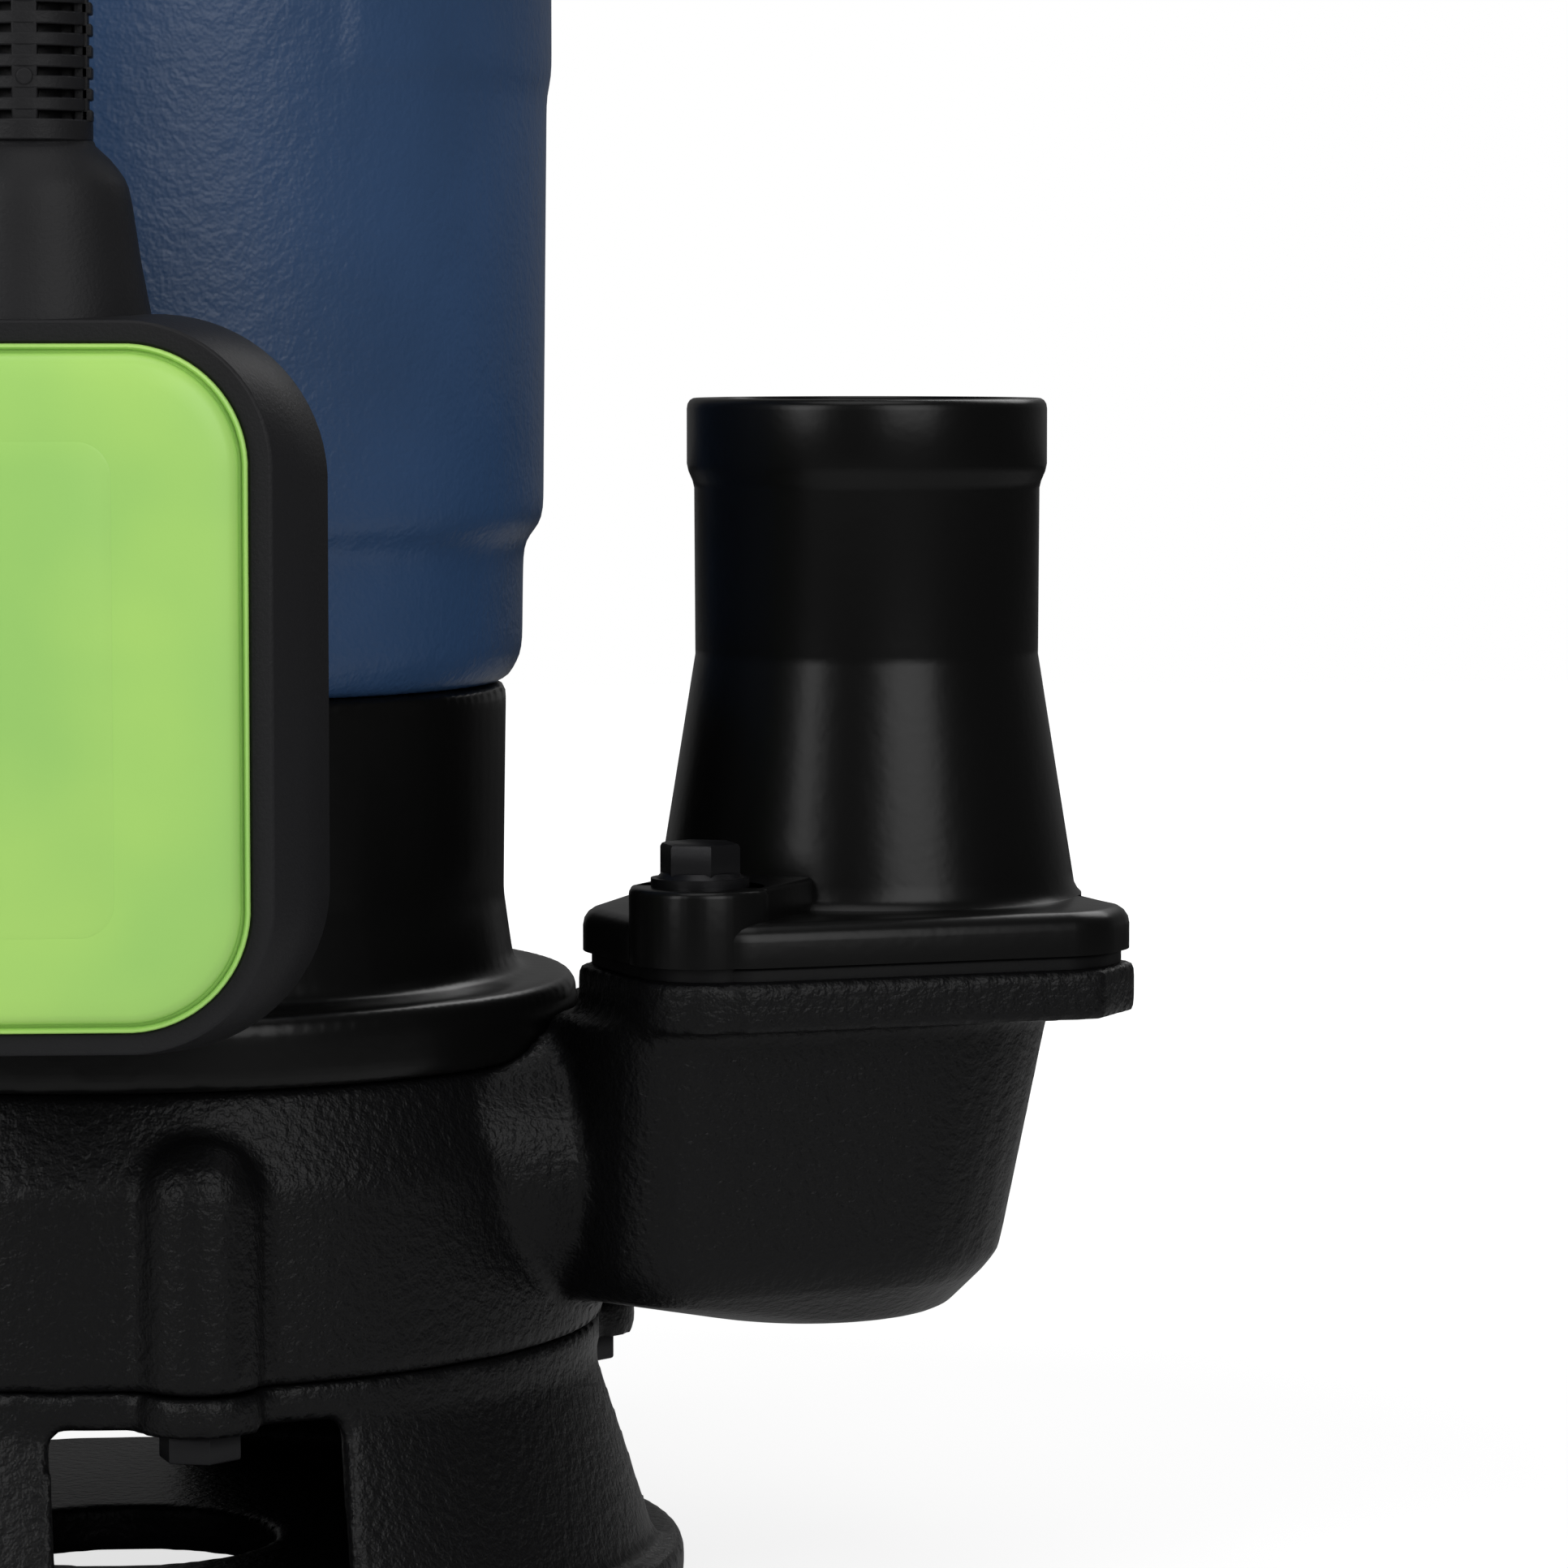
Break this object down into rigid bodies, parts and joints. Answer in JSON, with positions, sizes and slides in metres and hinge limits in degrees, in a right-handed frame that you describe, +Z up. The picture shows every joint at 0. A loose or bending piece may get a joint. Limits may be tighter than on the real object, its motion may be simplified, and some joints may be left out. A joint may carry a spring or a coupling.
{
  "type": "submersible sump pump",
  "caption": "Submersible sump pump with a cast stand, a side check-valve chamber with an upright threaded discharge, a sealed motor and a tethered float switch.",
  "frame": {"origin": "centre of the water hole in the base plate, on the floor and on the pump's axis", "axes": "+Z up along the shaft, -Y towards the float switch, +X towards the discharge side"},
  "size_m": [0.2976, 0.24, 0.445],
  "materials": {
    "black_cast_iron": "semi-gloss black paint over a rough sand casting",
    "bare_cast_iron": "bare casting",
    "blue_enamel": "blue enamel with an orange-peel surface",
    "stainless_steel": "turned or pressed stainless steel",
    "bearing_steel": "ground bearing steel",
    "black_zinc": "zinc-plated steel painted over with the pump",
    "zinc_plate": "zinc-plated steel",
    "black_rubber": "moulded nitrile rubber",
    "black_plastic": "fine-grained moulded plastic",
    "green_plastic": "smooth moulded lime-green plastic",
    "pale_plastic": "natural nylon",
    "ceramic": "lapped ceramic",
    "copper_winding": "lacquered copper wire",
    "lamination": "stacked electrical steel sheets",
    "cast_aluminium": "as cast"
  },
  "bodies": {
    "root": {"base_stand": "black_cast_iron", "suction_plate": "black_cast_iron", "volute_casing": "black_cast_iron", "seal_housing": "black_cast_iron", "outlet_adapter": "black_cast_iron", "motor_casing": "blue_enamel", "top_cover": "blue_enamel", "handle": "blue_enamel", "suction_plate_screws": "stainless_steel", "volute_screws": "stainless_steel", "casing_screws": "stainless_steel", "bracket_screws": "stainless_steel", "bearing_circlip": "stainless_steel", "flap_pin": "stainless_steel", "lead_clip": "stainless_steel", "lower_bearing_outer": "bearing_steel", "upper_bearing_outer": "bearing_steel", "stand_bolts": "black_zinc", "outlet_bolts": "black_zinc", "oil_plug": "black_zinc", "cover_bolts": "zinc_plate", "handle_bolts": "zinc_plate", "lead_clip_screws": "zinc_plate", "volute_o_ring": "black_rubber", "casing_o_ring": "black_rubber", "cover_o_ring": "black_rubber", "outlet_gasket": "black_rubber", "gland_bushes": "black_rubber", "float_lead_upper": "black_rubber", "gland_bodies": "black_plastic", "gland_nuts": "black_plastic", "capacitor": "black_plastic", "terminal_block": "pale_plastic", "seal_seats": "ceramic", "stator_windings": "copper_winding", "stator_core": "lamination", "bearing_bracket": "cast_aluminium"},
    "shaft": {"motor_shaft": "stainless_steel", "impeller": "bare_cast_iron", "impeller_key": "stainless_steel", "impeller_nut": "stainless_steel", "rotor_core": "lamination", "rotor_end_rings": "cast_aluminium", "seal_heads": "stainless_steel", "lower_bearing_inner": "bearing_steel", "upper_bearing_inner": "bearing_steel"},
    "lower_balls": {"lower_ball_set": "bearing_steel"},
    "upper_balls": {"upper_ball_set": "bearing_steel"},
    "flap": {"flap_disc": "black_rubber", "flap_plate": "stainless_steel"},
    "float": {"float_lead_lower": "black_rubber", "float_strain_relief": "black_plastic", "float_frame": "black_plastic", "float_front_shell": "green_plastic", "float_rear_shell": "green_plastic", "float_ball_tube": "pale_plastic", "micro_switch": "black_plastic"},
    "ball": {"float_ball": "stainless_steel"},
    "lever": {"switch_lever": "stainless_steel"}
  },
  "joints": [
    {"name": "shaft_spin", "type": "hinge", "parent": "root", "child": "shaft", "pos_m": [0, 0, 0.16], "axis": [0, 0, 1], "continuous": true},
    {"name": "lower_balls_spin", "type": "hinge", "parent": "root", "child": "lower_balls", "pos_m": [0, 0, 0.1625], "axis": [0, 0, 1], "continuous": true},
    {"name": "upper_balls_spin", "type": "hinge", "parent": "root", "child": "upper_balls", "pos_m": [0, 0, 0.2935], "axis": [0, 0, 1], "continuous": true},
    {"name": "flap_swing", "type": "hinge", "parent": "root", "child": "flap", "pos_m": [0.11485, -0.01822, 0.1265], "axis": [0.2924, -0.9563, 0], "range_deg": [0, 65]},
    {"name": "float_swing", "type": "hinge", "parent": "root", "child": "float", "pos_m": [-0.011, -0.108, 0.3562], "axis": [-1, 0, 0], "range_deg": [0, 90]},
    {"name": "ball_roll", "type": "slide", "parent": "float", "child": "ball", "axis": [0, 0, 1], "range_m": [0, 0.03]},
    {"name": "lever_press", "type": "hinge", "parent": "float", "child": "lever", "pos_m": [-0.021, -0.108, 0.1885], "axis": [0, -1, 0], "range_deg": [0, 10], "stiffness_Nm_per_rad": 0.001}
  ],
  "couplings": [
    {"joint": "lower_balls_spin", "follows": "shaft_spin", "ratio": 0.3667},
    {"joint": "upper_balls_spin", "follows": "shaft_spin", "ratio": 0.38}
  ]
}
